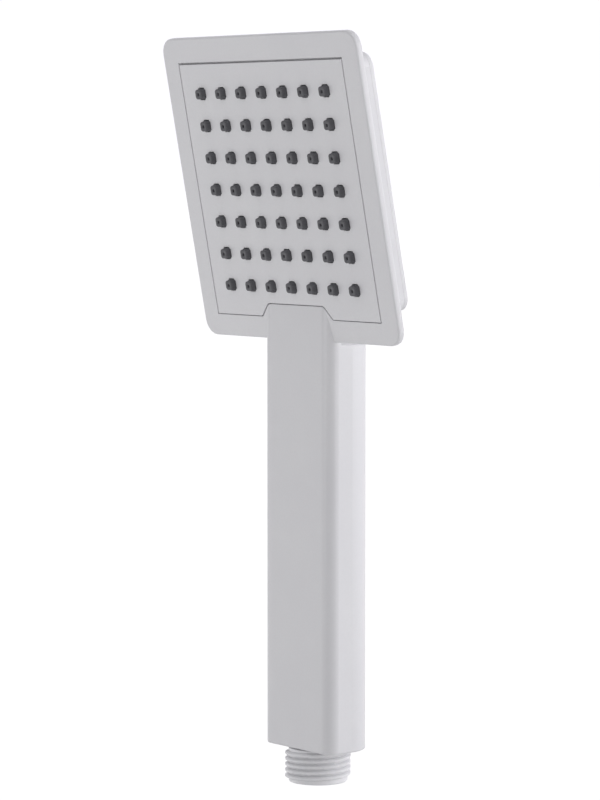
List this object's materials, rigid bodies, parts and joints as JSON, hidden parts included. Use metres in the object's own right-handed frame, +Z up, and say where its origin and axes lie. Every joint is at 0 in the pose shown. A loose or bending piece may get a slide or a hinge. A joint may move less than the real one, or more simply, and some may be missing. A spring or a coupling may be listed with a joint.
{
  "type": "handheld shower head",
  "caption": "Square handheld shower head on a straight D-shaped handle, with a face of square rubber nozzles and a threaded hose inlet",
  "frame": {"origin": "centre of the hose seat, the flat ring at the threaded end of the handle", "axes": "+Z up the handle towards the head, -Y the side that sprays, X across the head"},
  "size_m": [0.0968, 0.0374, 0.2357],
  "materials": {
    "white_plastic": "fine satin white ABS",
    "grey_silicone": "matte silicone",
    "inner_plastic": "natural moulded plastic",
    "valve_plastic": "moulded acetal",
    "black_rubber": "EPDM",
    "steel": "stainless steel"
  },
  "bodies": {
    "shower_head": {"body_shell": "white_plastic", "back_cover": "white_plastic", "spray_panel": "white_plastic", "nozzle_mat": "grey_silicone", "chamber_tray": "inner_plastic", "neck_seal": "black_rubber", "water_elbow": "inner_plastic", "water_tube": "inner_plastic", "tube_ring_upper": "black_rubber", "tube_ring_lower": "black_rubber", "inlet_nipple": "white_plastic", "inlet_filter": "steel", "valve_seat": "valve_plastic", "valve_cage": "valve_plastic", "valve_spring": "steel", "flow_regulator": "valve_plastic", "regulator_ring": "black_rubber", "tray_screw_1": "steel", "tray_screw_2": "steel", "tray_screw_3": "steel", "tray_screw_4": "steel", "tray_screw_5": "steel", "tray_screw_6": "steel", "tray_screw_7": "steel", "tray_screw_8": "steel", "tray_screw_9": "steel", "lug_screw_1": "steel", "lug_screw_2": "steel", "lug_screw_3": "steel", "lug_screw_4": "steel"},
    "poppet": {"valve_poppet": "inner_plastic", "valve_seal": "black_rubber"}
  },
  "joints": [
    {"name": "poppet_lift", "type": "slide", "parent": "shower_head", "child": "poppet", "axis": [0, 0, 1], "range_m": [0, 0.002], "stiffness_N_per_m": 60, "springref_m": -0.002, "deforming": ["valve_spring"]}
  ]
}
